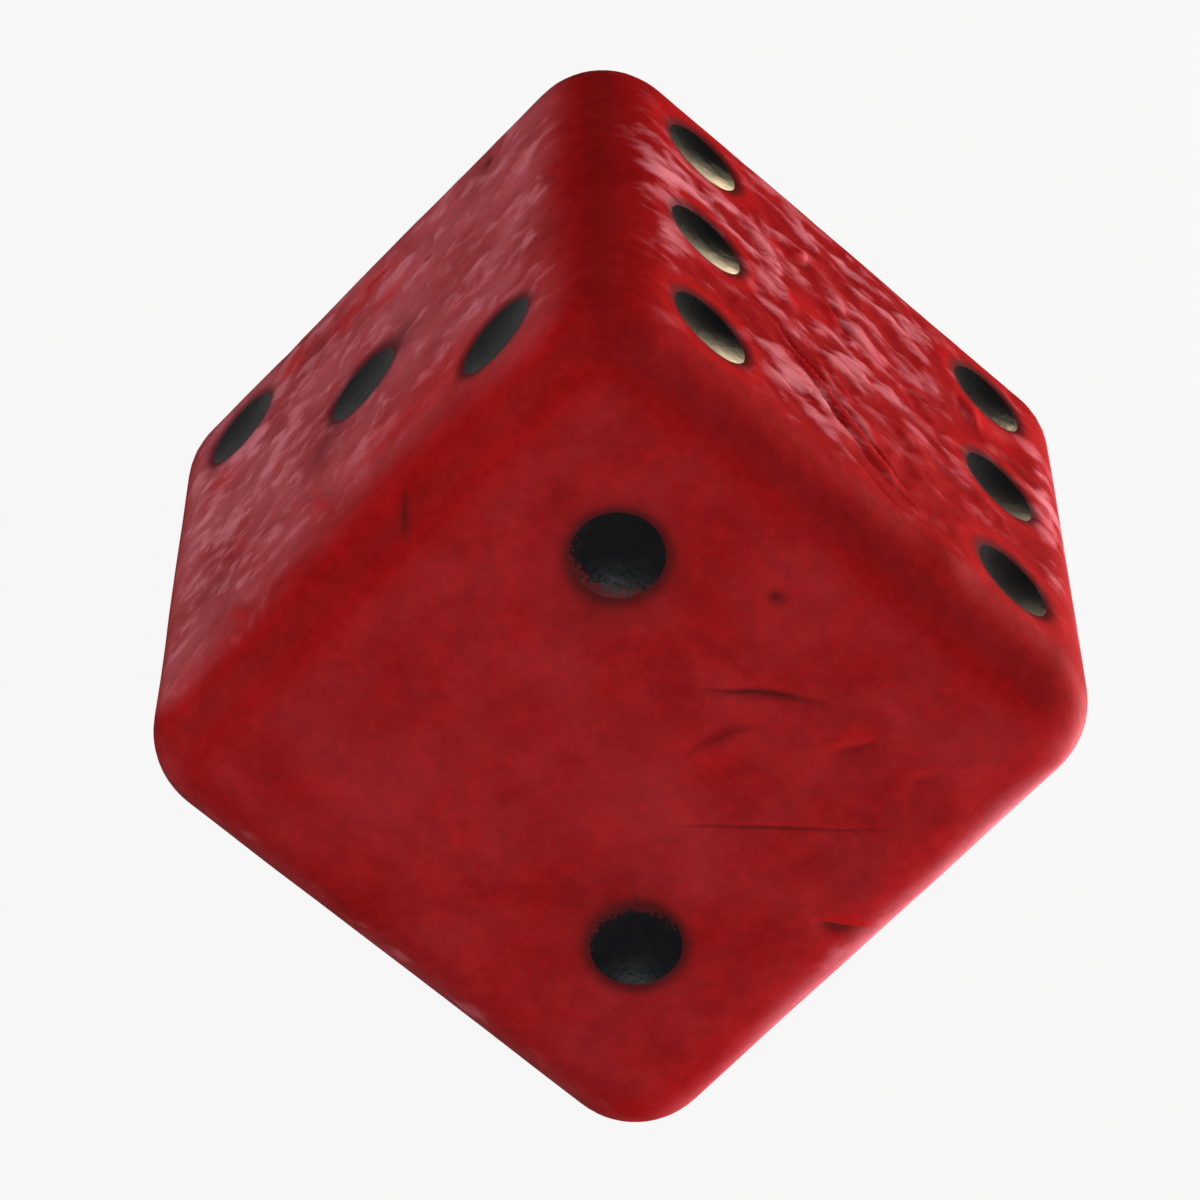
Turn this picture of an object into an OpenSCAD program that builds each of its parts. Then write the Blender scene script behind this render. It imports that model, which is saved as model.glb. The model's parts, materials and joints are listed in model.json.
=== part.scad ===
// A round-edged six-sided die: one moulded cube with a shallow bowl for each of its
// 21 pips, and a thin coat of black enamel in each bowl.
// The cube is centred on the origin. The six is up (+Z), the two faces the front (-Y)
// and the three faces the left (-X). Opposite faces add up to seven, and one, two and
// three run anticlockwise round their shared corner.

/* [Cube] */
// Length of the cube from face to face
side = 19.05; // [16:0.05:25]
// Radius of the rounded edges and corners
edge_round = 2.4; // [1.2:0.1:2.5]

/* [Pips] */
// Diameter of the black part of a pip
pip_dia = 2.5; // [1.8:0.1:2.6]
// Steepness of the bowl's wall where the enamel ends, in degrees
wall_angle = 22; // [20:1:30]
// Steepness of the enamel's surface at its rim, in degrees
enamel_angle = 17; // [8:1:18]
// Radius of the soft lip between the bowl and the face
lip_round = 0.8; // [0.3:0.1:0.8]
// Flat land left between the outer pips and the rounded edge
land = 0.05; // [0.05:0.05:0.3]
// How far the two's pips stand in from the outer rows
two_inset = 1.35; // [0.5:0.05:1.4]
// How far the two's pair of pips sits above the middle of its face
two_lift = 0.25; // [0:0.05:0.4]

/* [Hidden] */
half = side / 2;
flat = half - edge_round; // half the width of a face's flat part
pip_r = pip_dia / 2; // where the bowl meets its lip
lip_out = pip_r + lip_round * sin(wall_angle); // where the lip meets the flat face
lip_drop = lip_round * (1 - cos(wall_angle)); // how far below the face the bowl starts
row = flat - land - lip_out; // from a face's centre to its outer rows
two_row = row - two_inset;
proud = 1; // how far a cutter stands out of the face, so that it cuts clean
$fn = 96;

// The pips of each face, as places on it: right and up, as on_face lays them.
PIPS = [
    [[0, 0]],
    [[-two_row, two_lift + two_row], [two_row, two_lift - two_row]],
    [[row, -row], [0, 0], [-row, row]],
    [for (u = [-row, row], v = [-row, row]) [u, v]],
    [[0, 0], for (u = [-row, row], v = [-row, row]) [u, v]],
    [for (u = [-row, row], v = [-row, 0, row]) [u, v]]
];

// The turn that carries the cube's upper side to each face, one to six.
TURNS = [[180, 0, 0], [90, 0, 0], [0, -90, 0], [0, 90, 0], [-90, 0, 0], [0, 0, 0]];

LETTERS = "abcdef";

function fill_name(face, i) = str("pip_fill_", face, LETTERS[i]);

// Puts its children on a face, with z = 0 on the face and +z out of the cube.
module on_face(face) {
    rotate(TURNS[face - 1]) translate([0, 0, half]) children();
}

// Puts its children on one pip's place on a face.
module on_pip(face, i) {
    on_face(face) translate(concat(PIPS[face - 1][i], [0])) children();
}

// One long edge of the cube, along z, in the corner with the given signs.
module round_edge(sx, sy) {
    translate([sx * flat, sy * flat, 0]) cylinder(r = edge_round, h = 2 * flat, center = true);
}

// The cube before its bowls are cut: three crossed slabs, twelve edges and eight corners.
module blank() {
    cube([side, 2 * flat, 2 * flat], center = true);
    cube([2 * flat, side, 2 * flat], center = true);
    cube([2 * flat, 2 * flat, side], center = true);
    for (turn = [[0, 0, 0], [90, 0, 0], [0, 90, 0]])
        rotate(turn)
            for (sx = [-1, 1], sy = [-1, 1]) round_edge(sx, sy);
    for (sx = [-1, 1], sy = [-1, 1], sz = [-1, 1])
        translate([sx, sy, sz] * flat) sphere(r = edge_round);
}

// Half the section of the hollow under a pip's rim, whose round floor meets the rim at an angle.
module hollow_section(angle) {
    intersection() {
        translate([0, pip_r / tan(angle) - lip_drop]) circle(r = pip_r / sin(angle));
        translate([0, -pip_dia]) square([pip_r, pip_dia - lip_drop]);
    }
}

// Half the section of the soft lip round a bowl, from the rim out to the face.
module lip_section() {
    difference() {
        translate([0, -lip_drop]) square([lip_out, lip_drop + proud]);
        translate([lip_out, -lip_round]) circle(r = lip_round);
    }
}

// The cutter for one pip's bowl.
module bowl() {
    rotate_extrude() {
        hollow_section(wall_angle);
        lip_section();
    }
}

// The enamel in one bowl: it runs out to nothing at the rim and is thickest in the middle.
module enamel() {
    rotate_extrude()
        difference() {
            hollow_section(wall_angle);
            hollow_section(enamel_angle);
        }
}

module die_body() {
    color([0.56, 0.08, 0.1])
        difference() {
            blank();
            for (face = [1:6], i = [0:face - 1]) on_pip(face, i) bowl();
        }
}

module pip_fill(face, i) {
    color([0.07, 0.07, 0.08]) on_pip(face, i) enamel();
}

die_body();
for (face = [1:6], i = [0:face - 1])
    pip_fill(face, i);
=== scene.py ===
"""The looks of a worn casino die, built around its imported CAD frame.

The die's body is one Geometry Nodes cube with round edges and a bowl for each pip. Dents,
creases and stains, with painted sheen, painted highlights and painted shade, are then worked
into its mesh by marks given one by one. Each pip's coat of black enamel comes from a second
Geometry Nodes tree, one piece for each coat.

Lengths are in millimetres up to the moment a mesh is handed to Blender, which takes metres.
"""
import json
import logging
import math
from dataclasses import dataclass, field
from enum import Enum
from typing import Any

import bpy
import numpy as np
from mathutils import Matrix, Vector


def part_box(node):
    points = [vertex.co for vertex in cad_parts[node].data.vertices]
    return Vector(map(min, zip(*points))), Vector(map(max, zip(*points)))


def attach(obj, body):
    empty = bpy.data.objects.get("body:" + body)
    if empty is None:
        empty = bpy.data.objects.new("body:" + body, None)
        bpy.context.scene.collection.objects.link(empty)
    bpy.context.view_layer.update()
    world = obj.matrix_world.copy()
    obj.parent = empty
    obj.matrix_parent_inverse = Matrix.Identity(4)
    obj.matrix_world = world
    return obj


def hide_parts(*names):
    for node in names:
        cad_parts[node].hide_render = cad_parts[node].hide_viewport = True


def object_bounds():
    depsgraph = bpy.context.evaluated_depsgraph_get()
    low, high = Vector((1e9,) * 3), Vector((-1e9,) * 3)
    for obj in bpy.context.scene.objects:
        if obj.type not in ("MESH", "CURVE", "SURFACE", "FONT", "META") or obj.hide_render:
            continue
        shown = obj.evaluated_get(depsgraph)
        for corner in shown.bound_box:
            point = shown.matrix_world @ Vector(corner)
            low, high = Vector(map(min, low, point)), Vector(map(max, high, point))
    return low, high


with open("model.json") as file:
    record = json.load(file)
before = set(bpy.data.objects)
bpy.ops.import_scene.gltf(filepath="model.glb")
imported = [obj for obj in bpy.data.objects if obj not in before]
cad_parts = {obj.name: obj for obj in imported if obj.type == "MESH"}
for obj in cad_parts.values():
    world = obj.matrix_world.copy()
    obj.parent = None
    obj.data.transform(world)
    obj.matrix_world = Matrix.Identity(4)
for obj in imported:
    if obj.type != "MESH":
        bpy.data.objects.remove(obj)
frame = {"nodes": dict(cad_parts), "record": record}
CAD_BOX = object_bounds()

log = logging.getLogger("die")

Socket = bpy.types.NodeSocket
Node = bpy.types.Node
Tree = bpy.types.NodeTree
Pair = tuple[float, float]
Triple = tuple[float, float, float]

MM = 0.001
# Keeps a division from meeting zero; in millimetres.
NEXT_TO_NOTHING = 1e-5
# Radius of the cube's edges in the CAD model, in millimetres. The frame doesn't hold it.
EDGE_ROUND = 2.4
BODY_NODE = "die_body"
FLAT_FACE_HEIGHT = next(m["pos_m"][2] for m in frame["record"]["mounts"] if m["name"] == "face_6") / MM
FILL_PREFIX = "pip_fill_"


class Face(Enum):
    """A face of the die: its outward axis, and the axes that run across it and up it."""

    ONE = ((0, 0, -1), (1, 0, 0), (0, 1, 0))
    TWO = ((0, -1, 0), (1, 0, 0), (0, 0, 1))
    THREE = ((-1, 0, 0), (0, 1, 0), (0, 0, 1))
    FOUR = ((1, 0, 0), (0, 1, 0), (0, 0, 1))
    FIVE = ((0, 1, 0), (1, 0, 0), (0, 0, 1))
    SIX = ((0, 0, 1), (1, 0, 0), (0, 1, 0))

    @property
    def out(self) -> np.ndarray:
        """The outward axis."""
        return np.array(self.value[0], float)

    @property
    def across(self) -> np.ndarray:
        """The axis that runs across the face."""
        return np.array(self.value[1], float)

    @property
    def up(self) -> np.ndarray:
        """The axis that runs up the face."""
        return np.array(self.value[2], float)


FACE_BY_NUMBER = dict(zip("123456", Face))


@dataclass(frozen=True)
class Pip:
    """One pip: the name of its enamel's node, its face, and its centre on that face."""

    node: str
    face: Face
    place: Pair

    @property
    def centre(self) -> np.ndarray:
        """The pip's centre within the plane through the cube's middle."""
        return self.face.across * self.place[0] + self.face.up * self.place[1]


@dataclass(frozen=True)
class Form:
    """The die's driving sizes, in millimetres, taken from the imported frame.

    Attributes:
        half: Half the cube's side.
        edge_round: Radius of the edges and corners.
        pip_radius: Radius of a pip's enamel.
        wall_angle: Steepness of the bowl where the enamel ends, in radians.
        lip_round: Radius of the lip between the bowl and the face.
        pips: Every pip.
    """

    half: float
    edge_round: float
    pip_radius: float
    wall_angle: float
    lip_round: float
    pips: tuple[Pip, ...]

    @classmethod
    def from_frame(cls) -> "Form":
        """Reads the sizes that the frame knows, and adds those that it doesn't."""
        half = FLAT_FACE_HEIGHT
        pips = []
        for node in sorted(n for n in frame["nodes"] if n.startswith(FILL_PREFIX)):
            face = FACE_BY_NUMBER[node[len(FILL_PREFIX)]]
            box = np.array(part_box(node), float) / MM
            middle = box.mean(0)
            place = (float(middle @ face.across), float(middle @ face.up))
            pips.append(Pip(node, face, place))
        # All coats are alike, so the last one read gives their size.
        width = float((box[1] - box[0]).max())
        depth = float((box[1] - box[0]).min())
        rim = float(np.abs(box @ np.abs(face.out)).max())
        wall_angle = 2 * math.atan(2 * depth / width)
        return cls(
            half=half,
            edge_round=EDGE_ROUND,
            pip_radius=width / 2,
            wall_angle=wall_angle,
            lip_round=(half - rim) / (1 - math.cos(wall_angle)),
            pips=tuple(pips),
        )

    @property
    def flat(self) -> float:
        """Half the width of a face's flat part."""
        return self.half - self.edge_round

    @property
    def arc(self) -> float:
        """Length of the rounding from the flat to the middle of an edge."""
        return self.edge_round * math.pi / 4

    @property
    def unrolled(self) -> float:
        """Half the width of a face with its roundings laid out flat."""
        return self.flat + self.arc

    @property
    def bowl_radius(self) -> float:
        """Radius of the sphere that a bowl is part of."""
        return self.pip_radius / math.sin(self.wall_angle)

    @property
    def lip_reach(self) -> float:
        """Distance from a pip's centre to where its lip meets the flat."""
        return self.pip_radius + self.lip_round * math.sin(self.wall_angle)

    @property
    def bowl_centre(self) -> float:
        """Height of the bowl's sphere centre above the face."""
        lip_drop = self.lip_round * (1 - math.cos(self.wall_angle))
        return self.bowl_radius * math.cos(self.wall_angle) - lip_drop


# How far apart in space two seeds read the same noise.
SEED_STEP = (37.1, 61.7, 23.9)
SOCKET_TYPES = {float: "NodeSocketFloat", int: "NodeSocketInt", tuple: "NodeSocketVector"}
GEOMETRY = "NodeSocketGeometry"


class Graph:
    """Adds nodes to a tree in short calls, and links any socket that it is given."""

    def __init__(self, tree: Tree) -> None:
        """Wraps a tree."""
        self.tree = tree

    def node(self, kind: str, settings: dict[str, Any] | None = None,
             inputs: dict[Any, Any] | None = None) -> Node:
        """Adds one node.

        Args:
            kind: The node's type.
            settings: Values for its own settings.
            inputs: For each input, by name or number, a value or a socket to link.

        Returns:
            The new node.
        """
        made = self.tree.nodes.new(kind)
        for key, value in (settings or {}).items():
            setattr(made, key, value)
        for key, value in (inputs or {}).items():
            self.put(made.inputs[key], value)
        return made

    def put(self, target: Socket, value: Any) -> None:
        """Links a socket to an input, or sets the input's own value."""
        if isinstance(value, Socket):
            self.tree.links.new(value, target)
        else:
            target.default_value = value

    def put_all(self, made: Node, values: dict[str, Any]) -> None:
        """Gives a node's inputs their values by identifier, where several share one name."""
        for socket in made.inputs:
            if socket.identifier in values:
                self.put(socket, values[socket.identifier])

    def group(self, tree: Tree, inputs: dict[str, Any]) -> Socket:
        """Places a node group, and gives its output."""
        kind = tree.bl_idname.replace("NodeTree", "NodeGroup")
        return self.node(kind, {"node_tree": tree}, inputs).outputs[0]

    def between(self, share: Any, first: Any, second: Any) -> Socket:
        """A number between two numbers."""
        return self.node("ShaderNodeMix", None, {0: share, 2: first, 3: second}).outputs[0]

    def math(self, operation: str, *values: Any, clamp: bool = False) -> Socket:
        """Works out a number from up to three numbers."""
        settings = {"operation": operation, "use_clamp": clamp}
        return self.node("ShaderNodeMath", settings, dict(enumerate(values))).outputs[0]

    def vector(self, operation: str, *values: Any) -> Socket:
        """Works out a vector from up to three vectors."""
        settings = {"operation": operation}
        return self.node("ShaderNodeVectorMath", settings, dict(enumerate(values))).outputs[0]

    def scaled(self, value: Any, factor: Any) -> Socket:
        """A vector times a number."""
        return self.node("ShaderNodeVectorMath", {"operation": "SCALE"},
                         {0: value, "Scale": factor}).outputs[0]

    def measure(self, operation: str, *values: Any) -> Socket:
        """Works out a number, such as a length or a dot product, from vectors."""
        settings = {"operation": operation}
        return self.node("ShaderNodeVectorMath", settings, dict(enumerate(values))).outputs["Value"]

    def ramp(self, value: Any, low: Any, high: Any, start: float = 0.0, end: float = 1.0,
             smooth: bool = True) -> Socket:
        """A number that goes from start to end while value goes from low to high."""
        settings = {"interpolation_type": "SMOOTHSTEP" if smooth else "LINEAR", "clamp": True}
        inputs = {"Value": value, "From Min": low, "From Max": high, "To Min": start, "To Max": end}
        return self.node("ShaderNodeMapRange", settings, inputs).outputs["Result"]

    def noise(self, place: Any, scale: Any, detail: float = 2.0, roughness: float = 0.5,
              seed: Any = 0.0, distortion: float = 0.0) -> Socket:
        """Smooth noise from 0 to 1, 0.5 on average. Each seed reads a far-off part of it."""
        away = self.vector("MULTIPLY_ADD", self.join(seed, seed, seed), SEED_STEP, place)
        inputs = {"Vector": away, "Scale": scale, "Detail": detail, "Roughness": roughness,
                  "Distortion": distortion}
        return self.node("ShaderNodeTexNoise", None, inputs).outputs["Fac"]

    def split(self, value: Any) -> tuple[Socket, ...]:
        """A vector's three numbers."""
        return tuple(self.node("ShaderNodeSeparateXYZ", None, {0: value}).outputs)

    def join(self, x: Any, y: Any, z: Any) -> Socket:
        """A vector from three numbers."""
        return self.node("ShaderNodeCombineXYZ", None, {0: x, 1: y, 2: z}).outputs[0]


def new_tree(name: str, kind: str, inputs: dict[str, Any],
             outputs: dict[str, str]) -> tuple[Graph, Any, Node]:
    """Starts a node group with named sockets.

    Args:
        name: The group's name.
        kind: "GeometryNodeTree" or "ShaderNodeTree".
        inputs: Each input's name, with its first value or the name of its socket type.
        outputs: Each output's name and socket type.

    Returns:
        The graph, the outputs of its input node, and its output node.
    """
    tree = bpy.data.node_groups.new(name, kind)
    for label, value in inputs.items():
        typed = isinstance(value, str)
        socket_type = value if typed else SOCKET_TYPES[type(value)]
        made = tree.interface.new_socket(label, in_out="INPUT", socket_type=socket_type)
        if not typed:
            made.default_value = value
    for label, socket_type in outputs.items():
        tree.interface.new_socket(label, in_out="OUTPUT", socket_type=socket_type)
    graph = Graph(tree)
    return graph, graph.node("NodeGroupInput").outputs, graph.node("NodeGroupOutput")


def add_object(name: str, data: Any) -> bpy.types.Object:
    """Makes an object round its data and puts it in the scene."""
    made = bpy.data.objects.new(name, data)
    bpy.context.scene.collection.objects.link(made)
    return made


def grow(tree: Tree, name: str, values: dict[str, Any],
         points: np.ndarray | None = None) -> bpy.types.Object:
    """Runs a Geometry Nodes tree once and keeps the result as a plain mesh.

    Args:
        tree: The tree to run.
        name: The new piece's name.
        values: A value for each input, by name.
        points: Points for the tree's geometry input, in the tree's own units.

    Returns:
        A new object at the origin that holds the result.
    """
    seeds = bpy.data.meshes.new(name + "_seed")
    seeds.from_pydata([] if points is None else points.tolist(), [], [])
    carrier = add_object(name + "_carrier", seeds)
    modifier = carrier.modifiers.new("Grow", "NODES")
    modifier.node_group = tree
    for item in tree.interface.items_tree:
        if item.item_type == "SOCKET" and item.in_out == "INPUT" and item.name in values:
            modifier[item.identifier] = values[item.name]
    depsgraph = bpy.context.evaluated_depsgraph_get()
    mesh = bpy.data.meshes.new_from_object(carrier.evaluated_get(depsgraph),
                                           preserve_all_data_layers=True, depsgraph=depsgraph)
    carrier.modifiers.remove(modifier)
    bpy.data.objects.remove(carrier)
    bpy.data.meshes.remove(seeds)
    mesh.name = name
    return add_object(name, mesh)


def bowl_profile(form: Form) -> Tree:
    """A group that gives the height of a bowl and its lip at a distance from the pip's centre."""
    g, given, end = new_tree("Bowl Profile", "GeometryNodeTree", {"Distance": 0.0},
                             {"Height": "NodeSocketFloat"})
    distance = given["Distance"]
    inner = g.math("MINIMUM", distance, form.pip_radius)
    fall = g.math("SQRT", g.math("SUBTRACT", form.bowl_radius ** 2, g.math("POWER", inner, 2.0)))
    bowl = g.math("SUBTRACT", form.bowl_centre, fall)
    over = g.math("SUBTRACT", form.lip_reach, distance)
    over = g.math("MINIMUM", g.math("MAXIMUM", over, 0.0), form.lip_reach - form.pip_radius)
    rise = g.math("SQRT", g.math("SUBTRACT", form.lip_round ** 2, g.math("POWER", over, 2.0)))
    lip = g.math("SUBTRACT", rise, form.lip_round)
    inside = g.math("LESS_THAN", distance, form.pip_radius)
    g.put(end.inputs[0], g.between(inside, lip, bowl))
    return g.tree


def keep(g: Graph, geometry: Any, name: str, value: Any, kind: str = "FLOAT") -> Any:
    """Stores a value at every point under a name."""
    return g.node("GeometryNodeStoreNamedAttribute", {"data_type": kind, "domain": "POINT"},
                  {"Geometry": geometry, "Name": name, "Value": value}).outputs[0]


def shape(g: Graph, geometry: Any, place: Any) -> Any:
    """Moves a mesh's points to their places, told in millimetres."""
    return g.node("GeometryNodeSetPosition", None,
                  {"Geometry": geometry, "Position": g.scaled(place, MM)}).outputs[0]


def dress(g: Graph, end: Node, geometry: Any, material: Any) -> None:
    """Ends a tree: realizes what is instanced, sets the material and gives the result out."""
    whole = g.node("GeometryNodeRealizeInstances", None, {"Geometry": geometry}).outputs[0]
    dressed = g.node("GeometryNodeSetMaterial", None, {"Geometry": whole, "Material": material})
    g.put(end.inputs[0], dressed.outputs[0])


# How deep the dimples are on a plain face, and how much more on the others, out of 1.
PLAIN_DIMPLING = 0.4
MORE_DIMPLING = {Face.SIX: 0.6, Face.THREE: 0.3, Face.TWO: -0.22}


@dataclass(frozen=True)
class BodyTree:
    """The rule that the die's body follows: a round-edged cube with a bowl at each pip.

    Attributes:
        form: The die's sizes.
        profile: The group that gives a bowl's height.
        flat_cells: Mesh cells from a face's centre to the start of its rounding.
        round_cells: Mesh cells over half a rounding.
        ring_reach: How far from a pip's centre the mesh runs in full rings.
        ring_fade: How far from a pip's centre the mesh is back to its plain grid.
        lip_fade: How far past a pip's lip the dimples and the sway are back in full.
        sway_scale: Waves of the sway in a millimetre.
        dimple_squeeze: Squeeze of the dimples along each axis; below 1 draws them out.
        land_fade: How far before and past the flat's border the dimples die down.
        border: Share of the dimples left past that border.
        edge_share: Share of the dimples left on the roundings.
        round_start: The normal's largest part where a rounding counts as steep.
    """

    form: Form
    profile: Tree
    flat_cells: int = 54
    round_cells: int = 7
    ring_reach: float = 1.7
    ring_fade: float = 2.7
    lip_fade: float = 1.2
    sway_scale: float = 0.16
    dimple_squeeze: Triple = (0.75, 1.0, 1.0)
    land_fade: Pair = (1.6, 0.2)
    border: float = 0.15
    edge_share: float = 0.06
    round_start: float = 0.88

    def build(self) -> Tree:
        """Builds the tree. Its geometry input holds the pips' centres on the unrolled cube."""
        form = self.form
        cells = self.flat_cells + self.round_cells
        g, given, end = new_tree(
            "Round Cube With Bowls", "GeometryNodeTree",
            {"Pips": GEOMETRY, "Edge Radius": form.edge_round, "Flat": form.flat,
             "Sway": 0.08, "Dimple Depth": 0.11, "Dimple Size": 1.15, "Seed": 3.0,
             "Material": "NodeSocketMaterial"},
            {"Geometry": GEOMETRY})
        count = 2 * cells + 1
        sizes = {"Vertices " + axis: count for axis in "XYZ"}
        cube = g.node("GeometryNodeMeshCube", None, {"Size": (2.0, 2.0, 2.0), **sizes})
        grid = g.node("GeometryNodeInputPosition").outputs[0]
        side = g.vector("SIGN", grid)
        unrolled = g.vector("MULTIPLY", side, self.spread(g, g.vector("ABSOLUTE", grid)))
        nearest = g.node("GeometryNodeProximity", {"target_element": "POINTS"},
                         {"Geometry": given["Pips"], "Sample Position": unrolled})
        ringed, distance = self.ring(g, unrolled, nearest.outputs["Position"])
        place, normal = self.wrap(g, ringed, given)
        sink = g.group(self.profile, {"Distance": distance})
        sway = g.math("SUBTRACT", g.noise(place, self.sway_scale, 1.0, seed=given["Seed"]), 0.5)
        clear = g.ramp(distance, form.lip_reach, form.lip_reach + self.lip_fade)
        sway = g.math("MULTIPLY", g.math("MULTIPLY", sway, given["Sway"]), clear)
        swell = self.swell(g, place, given)
        open_land = g.math("MULTIPLY", clear, self.inland(g, place))
        rough = g.math("MULTIPLY", self.roughness(g, normal), open_land)
        dimples = g.math("MULTIPLY", g.math("SUBTRACT", swell, 0.5), given["Dimple Depth"])
        height = g.math("MULTIPLY_ADD", dimples, rough, g.math("ADD", sink, sway))
        final = g.vector("MULTIPLY_ADD", normal, g.join(height, height, height), place)
        kept = keep(g, cube.outputs["Mesh"], "reach", distance)
        kept = keep(g, kept, "out", normal, "FLOAT_VECTOR")
        kept = keep(g, kept, "swell", swell)
        moved = shape(g, kept, final)
        smooth = g.node("GeometryNodeSetShadeSmooth", None, {"Geometry": moved})
        dress(g, end, smooth.outputs[0], given["Material"])
        return g.tree

    def swell(self, g: Graph, place: Any, given: Any) -> Any:
        """Soft lumps and hollows, from 0 to 1, drawn out a little along X."""
        stretched = g.vector("MULTIPLY", place, self.dimple_squeeze)
        scale = g.math("DIVIDE", 1.0, given["Dimple Size"])
        lumps = g.noise(stretched, scale, 2.5, 0.55, given["Seed"], 0.6)
        return g.ramp(lumps, 0.3, 0.7)

    def inland(self, g: Graph, place: Any) -> Any:
        """1 in the middle of a face, falling to a little at its edges."""
        x, y, z = g.split(g.vector("ABSOLUTE", place))
        total = g.math("ADD", g.math("ADD", x, y), z)
        high = g.math("MAXIMUM", g.math("MAXIMUM", x, y), z)
        low = g.math("MINIMUM", g.math("MINIMUM", x, y), z)
        second = g.math("SUBTRACT", g.math("SUBTRACT", total, high), low)
        before, past = self.land_fade
        flat = self.form.flat
        return g.ramp(second, flat - before, flat + past, 1.0, self.border)

    def roughness(self, g: Graph, normal: Any) -> Any:
        """How dimpled each side is: most on the six, least on the two, little on the edges."""
        amount: Any = PLAIN_DIMPLING
        for face, share in MORE_DIMPLING.items():
            facing = g.measure("DOT_PRODUCT", normal, tuple(face.out))
            amount = g.math("MULTIPLY_ADD", g.math("MAXIMUM", facing, 0.0), share, amount)
        x, y, z = g.split(g.vector("ABSOLUTE", normal))
        level = g.math("MAXIMUM", g.math("MAXIMUM", x, y), z)
        kept = g.ramp(level, self.round_start, 1.0, self.edge_share, 1.0)
        return g.math("MULTIPLY", amount, kept)

    def spread(self, g: Graph, grid: Any) -> Any:
        """Distances along the unrolled face from the even grid: fine on the flat, coarser past it."""
        share = self.flat_cells / (self.flat_cells + self.round_cells)
        parts = []
        for low, high, length in ((0.0, share, self.form.flat), (share, 1.0, self.form.arc)):
            made = g.node("ShaderNodeMapRange", {"data_type": "FLOAT_VECTOR", "clamp": True})
            g.put_all(made, {"Vector": grid, "From_Min_FLOAT3": (low,) * 3,
                             "From_Max_FLOAT3": (high,) * 3, "To_Min_FLOAT3": (0.0,) * 3,
                             "To_Max_FLOAT3": (length,) * 3})
            parts.append(made.outputs["Vector"])
        return g.vector("ADD", *parts)

    def ring(self, g: Graph, place: Any, pip: Any) -> tuple[Any, Any]:
        """Turns the square cells round a pip into rings, and gives the distance from its centre."""
        offset = g.vector("SUBTRACT", place, pip)
        x, y, z = g.split(g.vector("ABSOLUTE", offset))
        square = g.math("MAXIMUM", g.math("MAXIMUM", x, y), z)
        length = g.math("MAXIMUM", g.measure("LENGTH", offset), NEXT_TO_NOTHING)
        share = g.ramp(square, self.ring_fade, self.ring_reach)
        change = g.math("SUBTRACT", g.math("DIVIDE", square, length), 1.0)
        factor = g.math("MULTIPLY_ADD", share, change, 1.0)
        return g.vector("ADD", pip, g.scaled(offset, factor)), g.math("MULTIPLY", length, factor)

    def wrap(self, g: Graph, unrolled: Any, given: Any) -> tuple[Any, Any]:
        """Wraps the unrolled faces round the cube: the place of each point, and its normal."""
        side = g.vector("SIGN", unrolled)
        size = g.vector("ABSOLUTE", unrolled)
        flat = g.join(given["Flat"], given["Flat"], given["Flat"])
        past = g.vector("MAXIMUM", g.vector("SUBTRACT", size, flat), (0.0, 0.0, 0.0))
        turn = g.scaled(past, g.math("DIVIDE", 1.0, given["Edge Radius"]))
        normal = g.vector("NORMALIZE", g.vector("MULTIPLY", side, g.vector("TANGENT", turn)))
        core = g.vector("MULTIPLY", side, g.vector("MINIMUM", size, flat))
        return g.vector("ADD", core, g.scaled(normal, given["Edge Radius"])), normal


def toward(azimuth: float, elevation: float) -> Vector:
    """The direction at an azimuth from +X towards +Y and a height, both in degrees."""
    turn, rise = math.radians(azimuth), math.radians(elevation)
    return Vector((math.cos(turn) * math.cos(rise), math.sin(turn) * math.cos(rise),
                   math.sin(rise)))


def stand(spot: Vector, back: Vector) -> Matrix:
    """The matrix of a camera or light at a spot, with a direction straight behind it."""
    return Matrix.Translation(spot) @ back.to_track_quat("Z", "Y").to_matrix().to_4x4()


@dataclass(frozen=True)
class Rig:
    """Where the camera stands.

    Attributes:
        azimuth: Its direction from the die about the vertical, in degrees from -Y towards +X.
        elevation: Height above the horizon, in degrees.
        roll: Turn of the camera about its own line of sight, in degrees.
        distance: From the aim to the camera, in millimetres.
        lens: Focal length, in millimetres.
        sensor: Width of the sensor, in millimetres.
        clip: The nearest and the farthest that it sees, in metres.
        aim: The point looked at, from the die's centre, in millimetres.
    """

    azimuth: float = -19.98
    elevation: float = 20.3
    roll: float = 46.1
    distance: float = 152.2
    lens: float = 164.0
    sensor: float = 36.0
    clip: Pair = (0.01, 10.0)
    aim: Triple = (-0.23, -0.12, -0.52)

    def place(self, centre: Vector) -> bpy.types.Object:
        """Makes the camera and looks through it.

        Args:
            centre: The die's centre, in metres.

        Returns:
            The camera.
        """
        back = toward(self.azimuth - 90.0, self.elevation)
        data = bpy.data.cameras.new("camera")
        data.lens = self.lens
        data.sensor_width = self.sensor
        data.clip_start, data.clip_end = self.clip
        camera = add_object("camera", data)
        spot = centre + (Vector(self.aim) + back * self.distance) * MM
        roll = Matrix.Rotation(math.radians(self.roll), 4, "Z")
        camera.matrix_world = stand(spot, back) @ roll
        bpy.context.scene.camera = camera
        return camera


class Coat(Enum):
    """What a mark leaves on the plastic: dirt with painted shade, film and haze with painted sheen,
    rubbing with painted highlights. Each is a layer painted on the body's mesh.
    """

    GRIME = "grime"
    FILM = "film"
    RUB = "rub"
    HAZE = "haze"


# How many steps a stroke takes from one of its places to the next.
PATH_STEPS = 12


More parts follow.
